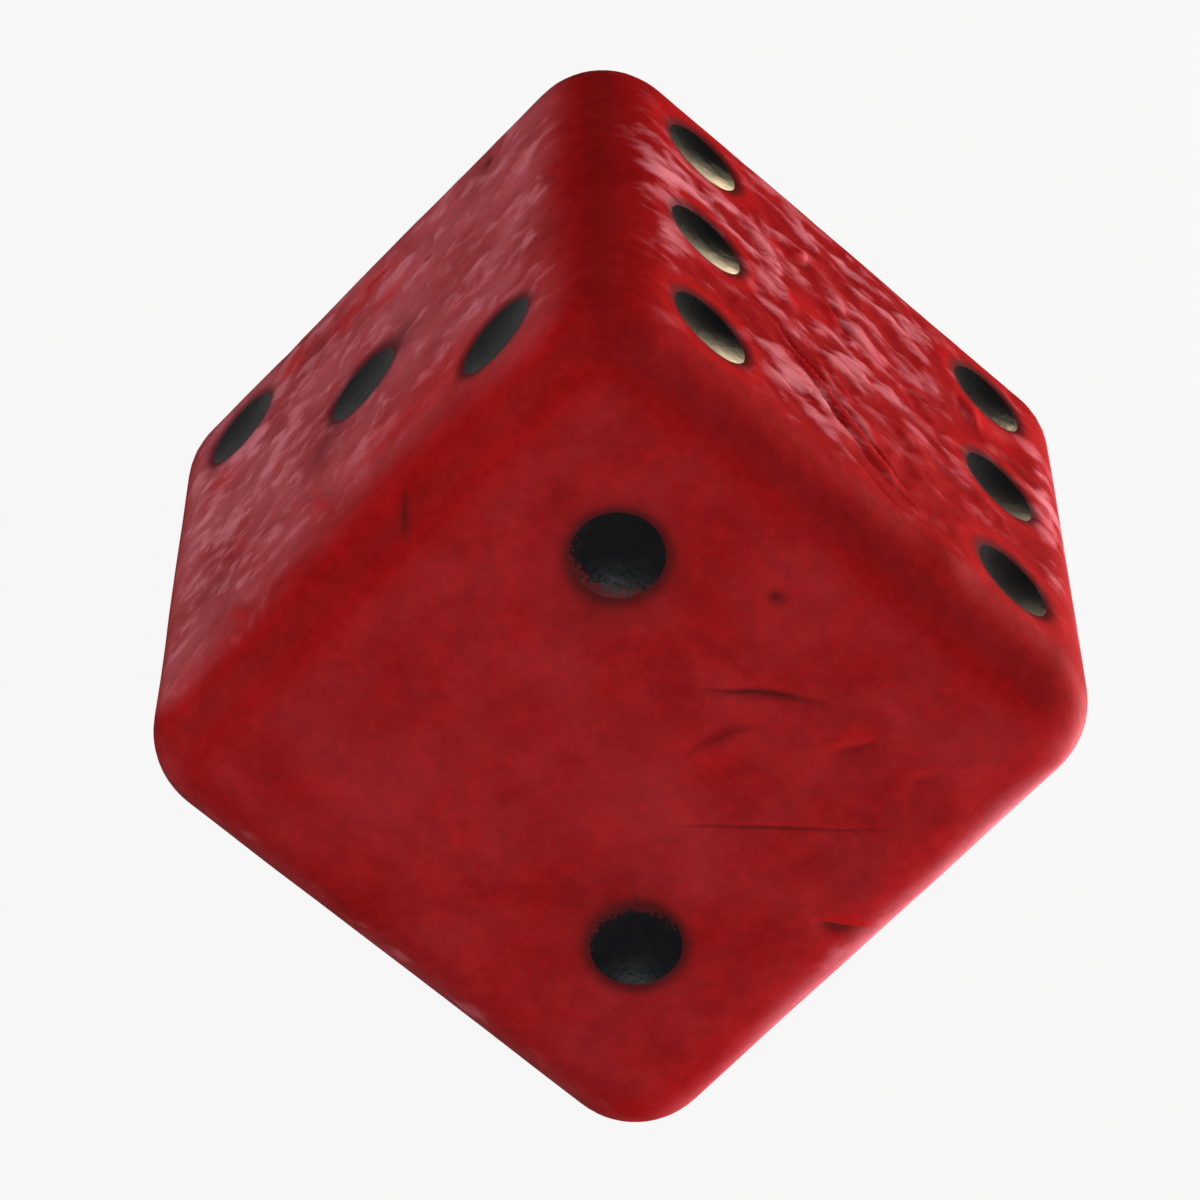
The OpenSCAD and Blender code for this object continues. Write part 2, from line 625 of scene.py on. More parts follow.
@dataclass(frozen=True)
class Stroke:
    """A scratch, crease or gouge drawn along a line on a face.

    Attributes:
        face: The face it is on.
        line: Places on the face that it passes through.
        width: Half its width at its middle.
        depth: Its depth at its middle.
        ridge: Height of the plastic pushed up beside it, on its left; negative for its right.
        grime: How much dirt and painted shade its groove holds, from 0 to 1.
    """

    face: Face
    line: tuple[Pair, ...]
    width: float
    depth: float
    ridge: float = 0.0
    grime: float = 0.0

    def path(self) -> np.ndarray:
        """The line as closely spaced points, with rounded bends."""
        points = np.array(self.line)
        before = np.vstack([2 * points[0] - points[1], points[:-1]])
        after = np.vstack([points[1:], 2 * points[-1] - points[-2]])
        slopes = (after - before) / 2
        steps = np.linspace(0, 1, PATH_STEPS, endpoint=False)[:, None]
        parts = []
        for i in range(len(points) - 1):
            start, stop = points[i], points[i + 1]
            parts.append((2 * steps**3 - 3 * steps**2 + 1) * start
                         + (steps**3 - 2 * steps**2 + steps) * slopes[i]
                         + (3 * steps**2 - 2 * steps**3) * stop
                         + (steps**3 - steps**2) * slopes[i + 1])
        return np.vstack([*parts, points[-1:]])

    def near(self, places: np.ndarray) -> tuple[np.ndarray, np.ndarray, np.ndarray]:
        """Measures places against the line.

        Args:
            places: Places on the face.

        Returns:
            Each place's distance left of the line, its share of the way along it, and the
            direction from the line to the left there.
        """
        path = self.path()
        run = np.diff(path, axis=0)
        length = np.linalg.norm(run, axis=1)
        offset = places[:, None, :] - path[None, :-1, :]
        share = np.clip((offset * run).sum(2) / length**2, 0, 1)
        gap = offset - share[:, :, None] * run
        away = np.linalg.norm(gap, axis=2)
        best = away.argmin(1)
        rows = np.arange(len(places))
        left = np.stack([-run[:, 1], run[:, 0]], 1) / length[:, None]
        side = np.sign((gap[rows, best] * left[best]).sum(1))
        travelled = np.concatenate([[0], np.cumsum(length)])
        along = (travelled[best] + share[rows, best] * length[best]) / travelled[-1]
        return away[rows, best] * np.where(side == 0, 1, side), along, left[best]


@dataclass(frozen=True)
class Patch:
    """A soft patch on a face: a dent pressed into it, or a coat laid on it.

    Attributes:
        face: The face it is on.
        centre: Its centre on the face.
        size: Its half width and half height before it is turned.
        amount: A dent's depth, negative for a lump. For a coat, how much of it is laid at
            the centre, from 0 to 1, negative where it is wiped off.
        turn: Its turn on the face, in degrees.
        grime: How much dirt and painted shade a dent holds, from 0 to 1.
    """

    face: Face
    centre: Pair
    size: Pair
    amount: float
    turn: float = 0.0
    grime: float = 0.0

    def weight(self, places: np.ndarray) -> np.ndarray:
        """How strongly it acts at places on its face, 1 at its centre and 0 well away."""
        angle = math.radians(self.turn)
        offset = places - np.array(self.centre)
        wide = offset @ np.array([math.cos(angle), math.sin(angle)]) / self.size[0]
        high = offset @ np.array([-math.sin(angle), math.cos(angle)]) / self.size[1]
        return np.exp(-(wide**2 + high**2))


STROKES = (
    Stroke(Face.SIX, ((-3.3, -1.5), (-1.4, -3.1), (0.2, -4.3), (1.7, -5.6)), 0.19, 0.13, -0.09, 0.5),
    Stroke(Face.SIX, ((-2.7, -2.6), (-1.6, -3.8), (0.2, -5.4), (2.2, -6.5)), 0.16, 0.08, 0.05, 0.2),
    Stroke(Face.SIX, ((-0.6, -6.1), (0.4, -6.7), (1.3, -7.2)), 0.14, 0.05, 0.03, 0.1),
    Stroke(Face.SIX, ((-0.9, 2.9), (-0.45, 2.2), (0.0, 1.5)), 0.15, 0.08, -0.06, 0.3),
    Stroke(Face.SIX, ((4.9, 1.75), (6.2, 2.1), (7.5, 1.7)), 0.2, 0.06, 0.07, 0.1),
    Stroke(Face.SIX, ((4.1, 3.9), (4.4, 3.2), (4.9, 2.5)), 0.2, 0.08, 0.06, 0.2),
    Stroke(Face.TWO, ((-0.1, 2.85), (0.7, 3.45), (1.4, 4.05), (2.4, 4.6), (3.5, 5.15)),
           0.13, 0.07, 0.03, 0.5),
    Stroke(Face.TWO, ((1.6, -1.2), (2.9, -0.05), (4.3, 1.15), (5.8, 2.45), (7.4, 3.9)),
           0.09, 0.05, 0.02, 0.6),
    Stroke(Face.TWO, ((2.0, 3.2), (1.55, 2.3), (1.2, 1.3)), 0.26, 0.15, 0.05, 0.35),
    Stroke(Face.TWO, ((3.8, 3.8), (4.35, 4.25), (4.7, 5.0)), 0.3, 0.14, 0.06, 0.3),
    Stroke(Face.TWO, ((7.1, -0.15), (7.9, 0.0), (8.8, 0.5)), 0.24, 0.24, 0.16, 0.8),
    Stroke(Face.TWO, ((-9.3, 1.9), (-8.8, 1.3), (-8.2, 0.75)), 0.15, 0.05, 0.0, 0.6),
    Stroke(Face.THREE, ((-3.2, -1.6), (-4.4, -1.1), (-5.6, -0.8), (-6.6, -0.7)), 0.26, 0.12, 0.08, 0.2),
    Stroke(Face.THREE, ((-5.8, -4.7), (-6.6, -4.3), (-7.5, -3.8)), 0.24, 0.1, 0.08, 0.2),
    Stroke(Face.THREE, ((4.3, 2.3), (4.0, 2.75)), 0.15, 0.07, 0.0, 0.8),
)

# Dents, and lumps where the amount is negative.
DENTS = (
    Patch(Face.TWO, (-0.3, 6.3), (0.35, 0.25), 0.114, grime=0.7),
    Patch(Face.TWO, (4.6, 2.9), (1.3, 0.7), 0.2, 25),
    Patch(Face.TWO, (6.6, 4.6), (1.1, 0.8), 0.24, -20),
    Patch(Face.TWO, (3.1, 3.1), (0.9, 0.6), -0.15, 35),
    Patch(Face.TWO, (5.6, 5.9), (1.2, 0.7), -0.18, 10),
    Patch(Face.TWO, (7.6, 2.2), (0.7, 1.0), -0.2, 0),
    Patch(Face.TWO, (7.9, 5.6), (0.7, 0.9), 0.22, 0),
    Patch(Face.TWO, (2.2, 6.1), (1.3, 0.5), 0.095, 5),
    Patch(Face.SIX, (-1.2, 1.4), (0.85, 0.85), 0.095),
    Patch(Face.SIX, (6.15, 3.65), (0.6, 0.5), 0.114),
    Patch(Face.SIX, (2.2, 2.0), (1.6, 1.2), 0.114, 20),
    Patch(Face.THREE, (6.7, 4.95), (0.3, 0.2), 0.095, grime=0.8),
)


@dataclass(frozen=True)
class Grain:
    """A surface's fine grain, in millimetres.

    Attributes:
        size: Width of one grain.
        height: Height of the grain.
        pits: Depth of the pits scattered in it.
        seed: The seed of its pattern.
    """

    size: float
    height: float
    pits: float
    seed: float


class ShaderGroups:
    """Node groups that more than one finish uses, each built once.

    Attributes:
        speckle_tree: Fine specks.
        patches_tree: Broad uneven patches.
        grain_tree: Fine surface grain.
    """

    def __init__(self) -> None:
        """Builds every group."""
        self.speckle_tree = self.build_speckle()
        self.patches_tree = self.build_patches()
        self.grain_tree = self.build_grain()

    def speckle(self, g: Graph, place: Any, amount: Any, scale: float, softness: float,
                seed: float) -> Socket:
        """Places the specks in a material and gives their mask."""
        return g.group(self.speckle_tree, {"Place": place, "Amount": amount, "Scale": scale,
                                           "Softness": softness, "Seed": seed})

    def patches(self, g: Graph, place: Any, share: float, scale: float, softness: float,
                seed: float) -> Socket:
        """Places the patches in a material and gives their mask."""
        return g.group(self.patches_tree, {"Place": place, "Share": share, "Scale": scale,
                                           "Softness": softness, "Seed": seed})

    def roughen(self, g: Graph, shader: Node, place: Any, grain: Grain) -> None:
        """Gives a material's shader its grain."""
        height = g.group(self.grain_tree, {"Place": place, "Grain Size": grain.size,
                                           "Grain Height": grain.height,
                                           "Pit Depth": grain.pits, "Seed": grain.seed})
        bump = g.node("ShaderNodeBump", None, {"Strength": 1.0, "Distance": MM, "Height": height})
        g.put(shader.inputs["Normal"], bump.outputs[0])

    def build_speckle(self) -> Tree:
        """Fine specks that crowd together as Amount rises to 1: dirt, dust or chips."""
        g, given, end = new_tree(
            "Speckle", "ShaderNodeTree",
            {"Place": (0.0, 0.0, 0.0), "Amount": 0.5, "Scale": 6.0, "Softness": 0.12, "Seed": 0.0},
            {"Mask": "NodeSocketFloat"})
        fine = g.noise(given["Place"], given["Scale"], 4.0, 0.65, given["Seed"])
        limit = g.math("MULTIPLY_ADD", given["Amount"], -0.5, 0.8)
        high = g.math("ADD", limit, given["Softness"])
        mask = g.ramp(fine, limit, high)
        present = g.ramp(given["Amount"], 0.0, 0.12)
        g.put(end.inputs[0], g.math("MULTIPLY", mask, present))
        return g.tree

    def build_patches(self) -> Tree:
        """Broad uneven patches with soft borders, from 0 to 1, that cover the Share asked for."""
        g, given, end = new_tree(
            "Patches", "ShaderNodeTree",
            {"Place": (0.0, 0.0, 0.0), "Share": 0.5, "Scale": 0.5, "Softness": 0.15, "Seed": 0.0},
            {"Mask": "NodeSocketFloat"})
        broad = g.noise(given["Place"], given["Scale"], 5.0, 0.6, given["Seed"], 0.3)
        middle = g.math("MULTIPLY_ADD", given["Share"], -0.5, 0.75)
        low = g.math("SUBTRACT", middle, given["Softness"])
        high = g.math("ADD", middle, given["Softness"])
        g.put(end.inputs[0], g.ramp(broad, low, high))
        return g.tree

    def build_grain(self) -> Tree:
        """Height of fine surface grain with scattered pits, in millimetres."""
        g, given, end = new_tree(
            "Grain", "ShaderNodeTree",
            {"Place": (0.0, 0.0, 0.0), "Grain Size": 0.25, "Grain Height": 0.004,
             "Pit Depth": 0.01, "Seed": 0.0},
            {"Height": "NodeSocketFloat"})
        scale = g.math("DIVIDE", 1.0, given["Grain Size"])
        fine = g.math("MULTIPLY", g.noise(given["Place"], scale, 4.0, 0.6, given["Seed"]),
                      given["Grain Height"])
        cells = g.node("ShaderNodeTexVoronoi", None,
                       {"Vector": given["Place"], "Scale": g.math("MULTIPLY", scale, 0.5)})
        pit = g.ramp(cells.outputs["Distance"], 0.08, 0.2, 1.0, 0.0)
        pit = g.math("MULTIPLY", pit, given["Pit Depth"])
        g.put(end.inputs[0], g.math("SUBTRACT", fine, pit))
        return g.tree


def new_material(name: str) -> tuple[Graph, Node, bpy.types.Material]:
    """Starts a material.

    Args:
        name: Its name.

    Returns:
        The graph, its Principled shader, and the material.
    """
    material = bpy.data.materials.new(name)
    material.use_nodes = True
    g = Graph(material.node_tree)
    return g, material.node_tree.nodes["Principled BSDF"], material


def own(g: Graph, name: str) -> Socket:
    """A value that the mesh carries under a name."""
    return g.node("ShaderNodeAttribute", {"attribute_name": name}).outputs["Fac"]


def object_place(g: Graph) -> Socket:
    """The shaded point's place on its object, in millimetres."""
    return g.scaled(g.node("ShaderNodeTexCoord").outputs["Object"], 1 / MM)


def mixed(g: Graph, share: Any, first: Any, second: Any) -> Socket:
    """A colour between two colours."""
    made = g.node("ShaderNodeMix", {"data_type": "RGBA"})
    ends = [(*end, 1.0) if isinstance(end, tuple) else end for end in (first, second)]
    g.put_all(made, {"Factor_Float": share, "A_Color": ends[0], "B_Color": ends[1]})
    return next(s for s in made.outputs if s.identifier == "Result_Color")


# The values that the body's mesh carries for its material.
LAYERS = ("grime", "film", "rub", "haze", "swell")


@dataclass(frozen=True)
class RedPlastic:
    """The die's plastic: deep red, mottled, with a milky film and painted sheen on its flats,
    painted highlights on its rims and lips, and dirt and painted shade in its marks.

    Attributes:
        groups: The shared node groups.
        deep: Colour of its dark areas.
        bright: Colour of its rubbed areas and of its painted highlights.
        film: Colour of the dusty film and of the painted sheen that it carries.
        dirt_and_shade: Colour of the dirt and of the painted shade.
        roughness: Roughness of the clean plastic.
        gloss: Strength of its mirror reflection.
        streak_squeeze: Squeeze of the streaks of film and painted sheen along each axis; below 1 draws
            them out.
        veil_strength: Share of the colour of the film and its painted sheen where the film is whole.
        veil_start: The streaks' level where a thin film with its painted sheen starts to show.
        veil_edge: Softness of the borders of the film and its painted sheen.
        haze_sheen: The least of the haze, dust and painted sheen, that any spot keeps, and how much
            more its clouds bring.
        grain: Its grain.
    """

    groups: ShaderGroups
    deep: Triple = (0.29, 0.003, 0.004)
    bright: Triple = (0.56, 0.009, 0.009)
    film: Triple = (0.95, 0.30, 0.35)
    dirt_and_shade: Triple = (0.035, 0.012, 0.012)
    roughness: float = 0.5
    gloss: float = 0.008
    streak_squeeze: Triple = (0.55, 1.0, 0.8)
    veil_strength: float = 0.9
    veil_start: float = 0.66
    veil_edge: float = 0.36
    haze_sheen: Pair = (0.35, 1.3)
    grain: Grain = Grain(0.3, 0.014, 0.002, 0.0)

    def build(self) -> bpy.types.Material:
        """Builds the material."""
        g, shader, material = new_material("worn_red_plastic")
        place = object_place(g)
        grime, film, rub, haze, swell = (own(g, name) for name in LAYERS)
        cloud = self.groups.patches(g, place, 0.5, 0.35, 0.3, 1.0)
        tone = self.tone(g, place, cloud, swell, film)
        # Rubbed spots, and the painted highlights on up-facing pip lips and scratch ridges, brighten
        # the red.
        tone = g.math("ADD", tone, rub, clamp=True)
        outside_rub_and_highlight = g.math("MULTIPLY_ADD", rub, -0.9, 1.0, clamp=True)
        veil = g.math("MULTIPLY", self.veil(g, place, film, swell), outside_rub_and_highlight)
        # The haze is dust with painted sheen; on the right rims it is a painted highlight.
        least, more = self.haze_sheen
        uneven = g.math("MULTIPLY_ADD", cloud, more, least)
        haze_sheen = g.math("MULTIPLY", g.math("MULTIPLY", haze, uneven, clamp=True), outside_rub_and_highlight)
        stain_and_painted_light = self.stain_and_painted_light(g, place, grime)
        colour = mixed(g, tone, self.deep, self.bright)
        # The film colour is dust and painted sheen.
        colour = mixed(g, g.math("MULTIPLY", veil, self.veil_strength), colour, self.film)
        colour = mixed(g, haze_sheen, colour, self.film)
        # The dirt colour also paints shade on the roundings, in grooves and in dents.
        g.put(shader.inputs["Base Color"], mixed(g, stain_and_painted_light, colour, self.dirt_and_shade))
        rough = g.math("MULTIPLY_ADD", veil, 0.15, self.roughness)
        rough = g.math("MULTIPLY_ADD", tone, -0.06, rough)
        g.put(shader.inputs["Roughness"], g.math("MULTIPLY_ADD", stain_and_painted_light, 0.2, rough, clamp=True))
        shader.inputs["Specular IOR Level"].default_value = self.gloss
        self.groups.roughen(g, shader, place, self.grain)
        return material

    def tone(self, g: Graph, place: Any, cloud: Any, swell: Any, film: Any) -> Any:
        """How bright the red is, from 0 to 1: clouds, flecks, lumps and fine mottling."""
        flecks = self.groups.patches(g, place, 0.45, 2.2, 0.2, 2.0)
        tone = g.math("MULTIPLY_ADD", cloud, 0.22, 0.12)
        tone = g.math("MULTIPLY_ADD", flecks, 0.3, tone, clamp=True)
        tone = g.math("MULTIPLY_ADD", swell, 0.2, tone, clamp=True)
        fine = g.math("SUBTRACT", g.noise(place, 7.0, 3.0, 0.6, 8.0), 0.5)
        tone = g.math("MULTIPLY_ADD", fine, 0.6, tone, clamp=True)
        return g.math("MULTIPLY_ADD", film, -0.35, tone, clamp=True)

    def veil(self, g: Graph, place: Any, film: Any, swell: Any) -> Any:
        """How much film and painted sheen lies on a spot: streaks and wisps, most on the lumps."""
        brushed = g.vector("MULTIPLY", place, self.streak_squeeze)
        streaks = g.ramp(g.noise(brushed, 1.3, 2.0, 0.5, 3.0), 0.22, 0.78, smooth=False)
        wisps = self.groups.patches(g, brushed, 0.5, 5.0, 0.35, 6.0)
        streaks = g.math("MULTIPLY_ADD", wisps, 0.25, g.math("MULTIPLY", streaks, 0.75))
        streaks = g.math("MULTIPLY_ADD", swell, 0.35, g.math("MULTIPLY", streaks, 0.65))
        low = g.math("MULTIPLY_ADD", film, -0.5, self.veil_start)
        veil = g.ramp(streaks, low, g.math("ADD", low, self.veil_edge))
        return g.math("MULTIPLY", veil, g.math("MULTIPLY", film, 1.4, clamp=True))

    def stain_and_painted_light(self, g: Graph, place: Any, grime: Any) -> Any:
        """How much dirt and painted shade cover a spot: specks first, then an even layer."""
        specks = self.groups.speckle(g, place, grime, 5.0, 0.14, 4.0)
        layer = g.ramp(grime, 0.05, 1.0, 0.0, 0.85)
        return g.math("MAXIMUM", g.math("MULTIPLY", specks, 0.6), layer)


@dataclass(frozen=True)
class BlackEnamel:
    """The pips' black enamel, chipped to red specks where it is worn.

    Attributes:
        groups: The shared node groups.
        black: Colour of the enamel.
        chip: Colour of the plastic that shows in the chips.
        dust: Colour of the dust on it.
        dust_share: How much of the dust's colour shows.
        roughness: Roughness of clean enamel.
        gloss: Strength of its mirror reflection.
        grain: Its grain.
    """

    groups: ShaderGroups
    black: Triple = (0.002, 0.0025, 0.004)
    chip: Triple = (0.13, 0.004, 0.005)
    dust: Triple = (0.10, 0.09, 0.075)
    dust_share: float = 0.05
    roughness: float = 0.3
    gloss: float = 0.22
    grain: Grain = Grain(0.3, 0.021, 0.004, 5.0)

    def build(self) -> bpy.types.Material:
        """Builds the material."""
        g, shader, material = new_material("chipped_black_enamel")
        place = object_place(g)
        chips = self.groups.speckle(g, place, own(g, "wear"), 8.0, 0.16, 11.0)
        dust = self.groups.patches(g, place, 0.35, 2.5, 0.3, 12.0)
        colour = mixed(g, g.math("MULTIPLY", dust, self.dust_share), self.black, self.dust)
        g.put(shader.inputs["Base Color"], mixed(g, chips, colour, self.chip))
        rough = g.math("MULTIPLY_ADD", dust, 0.12, self.roughness)
        g.put(shader.inputs["Roughness"], g.math("MULTIPLY_ADD", chips, 0.15, rough))
        shader.inputs["Specular IOR Level"].default_value = self.gloss
        self.groups.roughen(g, shader, place, self.grain)
        return material


def scatter(face: Face, seed: int, dents: int, strokes: int, middle: Pair = (0.0, 0.0),
            reach: Pair = (7.5, 7.5)) -> tuple[list[Stroke], list[Patch]]:
    """Small marks strewn over a part of a face.

    Args:
        face: The face.
        seed: The seed of their places and sizes.
        dents: How many dents and lumps.
        strokes: How many scratches.
        middle: The middle of the part on the face.
        reach: Half its width and half its height.

    Returns:
        The scratches, and the dents.
    """
    random = np.random.default_rng(seed)
    lines = []
    for _ in range(strokes):
        start = np.array(middle) + random.uniform(-1, 1, 2) * reach
        way = random.normal(0, 1, 2)
        step = way / np.linalg.norm(way) * random.uniform(0.5, 1.3)
        bend = np.array([-step[1], step[0]]) * random.uniform(-0.35, 0.35)
        line = (tuple(start - step), tuple(start + bend), tuple(start + step))
        lines.append(Stroke(face, line, random.uniform(0.1, 0.2), random.uniform(0.03, 0.09),
                            random.uniform(-0.04, 0.04), random.uniform(0.1, 0.7)))
    hollows = []
    for _ in range(dents):
        place = tuple(np.array(middle) + random.uniform(-1, 1, 2) * reach)
        size = random.uniform(0.35, 0.95)
        depth = random.choice([-1.0, 1.0]) * random.uniform(0.08, 0.16) * size
        hollows.append(Patch(face, place, (size, size * random.uniform(0.45, 0.8)), depth,
                             random.uniform(0, 180)))
    return lines, hollows


# The strewn marks: each face's own, and first those of the two's more worn end.
SCATTERED = (
    scatter(Face.TWO, 21, 16, 0, (6.3, 3.8), (2.4, 4.0)),
    scatter(Face.TWO, 22, 9, 0),
    scatter(Face.THREE, 31, 12, 5),
    scatter(Face.SIX, 61, 14, 4),
    scatter(Face.ONE, 11, 16, 9),
    scatter(Face.FOUR, 41, 20, 8),
    scatter(Face.FIVE, 51, 20, 9),
)


# A point belongs to a face when it looks out at least this squarely.
ON_FACE = 0.35
# Gathering: how far it reaches, in half widths, how strongly it pulls, and its ends' sharpness.
GATHER_SPAN = 4
GATHER_POWER = 1.4
GATHER_ENDS = 8
# Carving: how far it reaches, in half widths, how thin a stroke gets, and where its ridge is.
CARVE_SPAN = 5
THIN_END = 0.45
RIDGE_PLACE = 1.9
# How closely a stroke's dirt and painted shade keep to its bottom.
DIRT_AND_SHADE_POWER = 1.5
# How much rub and painted highlight a ridge gets for each millimetre of its height, and at most.
RIDGE_RUB_AND_HIGHLIGHT = 6
MOST_RUB_AND_HIGHLIGHT = 0.6


@dataclass(frozen=True)
class SoilAndPaintedLight:
    """How dirt and painted shade, film and haze with their painted sheen, and rubbing and painted
    highlights spread where nothing else marks the plastic.

    Attributes:
        flat_start: How squarely a point has to look out for a face's film and painted sheen to reach
            it.
        edge_start: The largest part of a direction where a rounding's dirt and painted shade start.
        edge_span: How much smaller it is where that dirt and painted shade are full.
        shade_lean: Share of that dirt and painted shade on a side that looks neither up nor left, and
            what these add; the painted shade darkens the roundings that face up and those that face
            left.
        edge_grime_and_shade: Dirt and painted shade on the roundings.
        edge_sheen: Painted sheen on the roundings, laid as haze.
        ring: Half width of the ring of dirt at a pip's rim, and how much it holds.
        halo: Reach of the wider halo of dirt round a pip, and how much it holds.
        lip: How far past a pip's lip its painted highlight lies, over what half width, and how much; it
            lies only on lips that face up.
        clear: Over what distance past a lip a dent or a scratch reaches its full depth.
        clear_gather: The same for the gathering of points.
    """

    flat_start: float = 0.88
    edge_start: float = 0.97
    edge_span: float = 0.2
    shade_lean: Pair = (0.7, 0.6)
    edge_grime_and_shade: float = 0.32
    edge_sheen: float = 0.022
    ring: Pair = (0.24, 0.7)
    halo: Pair = (0.55, 0.46)
    lip: Triple = (0.2, 0.3, 0.5)
    clear: float = 0.4
    clear_gather: float = 0.3


@dataclass
class DieBody:
    """The moulded cube: its mesh, its marks and its stains.

    Attributes:
        form: The die's sizes.
        profile: The group that gives a bowl's height.
        material: The plastic.
        soil_and_painted_light: How dirt, painted sheen, painted highlights and painted shade spread on
            it.
        points: Each mesh point's place, in millimetres.
        out: Each point's outward direction, before any mark.
        reach: Each point's distance from the nearest pip's centre.
        coats: How much of each coat lies on each point.
    """

    form: Form
    profile: Tree
    material: bpy.types.Material
    soil_and_painted_light: SoilAndPaintedLight = SoilAndPaintedLight()
    points: np.ndarray = field(init=False)
    out: np.ndarray = field(init=False)
    reach: np.ndarray = field(init=False)
    coats: dict[Coat, np.ndarray] = field(init=False)

    def build(self) -> bpy.types.Object:
        """Makes the piece.

        Returns:
            The body, in place.
        """
        centres = np.array([p.centre + p.face.out * self.form.unrolled for p in self.form.pips])
        body = grow(BodyTree(self.form, self.profile).build(), "worn_die_body",
                    {"Material": self.material}, centres)
        mesh = body.data
        self.points = self.read(mesh, "position") / MM
        self.out = self.read(mesh, "out")
        self.reach = self.read(mesh, "reach", 1)[:, 0]
        self.coats = {coat: np.zeros(len(self.points)) for coat in Coat}
        strokes = [*STROKES, *(stroke for lines, _ in SCATTERED for stroke in lines)]
        dents = [*DENTS, *(dent for _, hollows in SCATTERED for dent in hollows)]
        for stroke in strokes:
            self.gather(stroke)
        shift = np.zeros(len(self.points))
        for stroke in strokes:
            self.scratch(stroke, shift)
        for dent in dents:
            self.press(dent, shift)
        self.stain_and_painted_light()
        self.points += self.out * shift[:, None]
        mesh.vertices.foreach_set("co", (self.points * MM).astype(np.float32).ravel())
        for coat, amount in self.coats.items():
            layer = mesh.attributes.new(coat.value, "FLOAT", "POINT")
            layer.data.foreach_set("value", amount.astype(np.float32))
        mesh.update()
        return body

    def read(self, mesh: bpy.types.Mesh, name: str, width: int = 3) -> np.ndarray:
        """Reads a value that every point carries.

        Args:
            mesh: The mesh.
            name: The value's name.
            width: How many numbers it has.

        Returns:
            A row for each point.
        """
        kind = "value" if width == 1 else "vector"
        flat = np.zeros(len(mesh.vertices) * width, np.float32)
        mesh.attributes[name].data.foreach_get(kind, flat)
        return flat.astype(float).reshape(-1, width)

    def on(self, face: Face) -> tuple[np.ndarray, np.ndarray]:
        """The points on a face and its roundings: their numbers, and their places on it."""
        rows = np.flatnonzero(self.out @ face.out > ON_FACE)
        points = self.points[rows]
        return rows, np.stack([points @ face.across, points @ face.up], 1)

    def close(self, stroke: Stroke, margin: float) -> tuple[np.ndarray, ...]:
        """The points within a margin of a stroke, measured against it."""
        rows, places = self.on(stroke.face)
        path = stroke.path()
        inside = ((places > path.min(0) - margin) & (places < path.max(0) + margin)).all(1)
        rows = rows[inside]
        return (rows, *stroke.near(places[inside]))

    def past_lips(self, rows: np.ndarray, span: float) -> np.ndarray:
        """0 within the pips and their lips, rising to 1 over a span past them."""
        return np.clip((self.reach[rows] - self.form.lip_reach) / span, 0, 1)

    def gather(self, stroke: Stroke) -> None:
        """Draws the mesh's points towards a stroke, so that there are enough to carve it."""
        margin = GATHER_SPAN * stroke.width
        rows, side, along, left = self.close(stroke, margin)
        share = np.clip(np.abs(side) / margin, 0, 1)
        ends = np.clip(np.minimum(along, 1 - along) * GATHER_ENDS, 0, 1)
        clear = self.past_lips(rows, self.soil_and_painted_light.clear_gather)
        pull = (share**GATHER_POWER - share) * margin * np.sign(side) * ends * clear
        pull[(along <= 0) | (along >= 1)] = 0
        face = stroke.face
        self.points[rows] += pull[:, None] * (left[:, :1] * face.across + left[:, 1:] * face.up)

    def scratch(self, stroke: Stroke, shift: np.ndarray) -> None:
        """Carves a stroke, raises the ridge beside it, and leaves dirt and painted shade in the groove
        and rub with a painted highlight on the ridge.
        """
        rows, side, along, _ = self.close(stroke, CARVE_SPAN * stroke.width)
        width = stroke.width * (THIN_END + (1 - THIN_END) * np.sin(math.pi * along))
        taper = np.sqrt(np.clip(np.sin(math.pi * along), 0, 1))
        groove = np.exp(-((side / width) ** 2)) * taper
        off_ridge = side * math.copysign(1, stroke.ridge) / width - RIDGE_PLACE
        ridge = np.exp(-(off_ridge**2)) * taper
        clear = self.past_lips(rows, self.soil_and_painted_light.clear)
        shift[rows] += (abs(stroke.ridge) * ridge - stroke.depth * groove) * clear
        # The groove holds dirt and painted shade; the ridge gets rub and a painted highlight.
        self.lay(Coat.GRIME, rows, groove**DIRT_AND_SHADE_POWER * stroke.grime)
        self.lay(Coat.RUB, rows, ridge * min(abs(stroke.ridge) * RIDGE_RUB_AND_HIGHLIGHT, MOST_RUB_AND_HIGHLIGHT))

    def press(self, dent: Patch, shift: np.ndarray) -> None:
        """Presses a dent in and leaves its dirt and painted shade."""
        rows, places = self.on(dent.face)
        weight = dent.weight(places)
        shift[rows] -= dent.amount * weight * self.past_lips(rows, self.soil_and_painted_light.clear)
        # The dent holds dirt and painted shade.
        self.lay(Coat.GRIME, rows, weight * dent.grime)

    def lay(self, coat: Coat, rows: np.ndarray, amount: np.ndarray) -> None:
        """Adds to a coat at some points, up to a full coat, or wipes it where amount is negative."""
        kept = self.coats[coat]
        added = kept[rows] + amount * (1 - kept[rows])
        kept[rows] = np.clip(np.where(amount < 0, kept[rows] * (1 + amount), added), 0, 1)

    def stain_and_painted_light(self) -> None:
        """Lays the film and its painted sheen on the flats, dirt and painted shade on the roundings,
        the dirt round the pips, painted highlights on the lips, and the patches.
        """
        soil_and_light = self.soil_and_painted_light
        for face, amount in FILM.items():
            rows, _ = self.on(face)
            squarely = self.out[rows] @ face.out
            flatness = np.clip((squarely - soil_and_light.flat_start) / (1 - soil_and_light.flat_start), 0, 1)
            self.lay(Coat.FILM, rows, flatness * amount)
            self.lay(Coat.HAZE, rows, flatness * HAZE[face])
        everywhere = np.arange(len(self.reach))
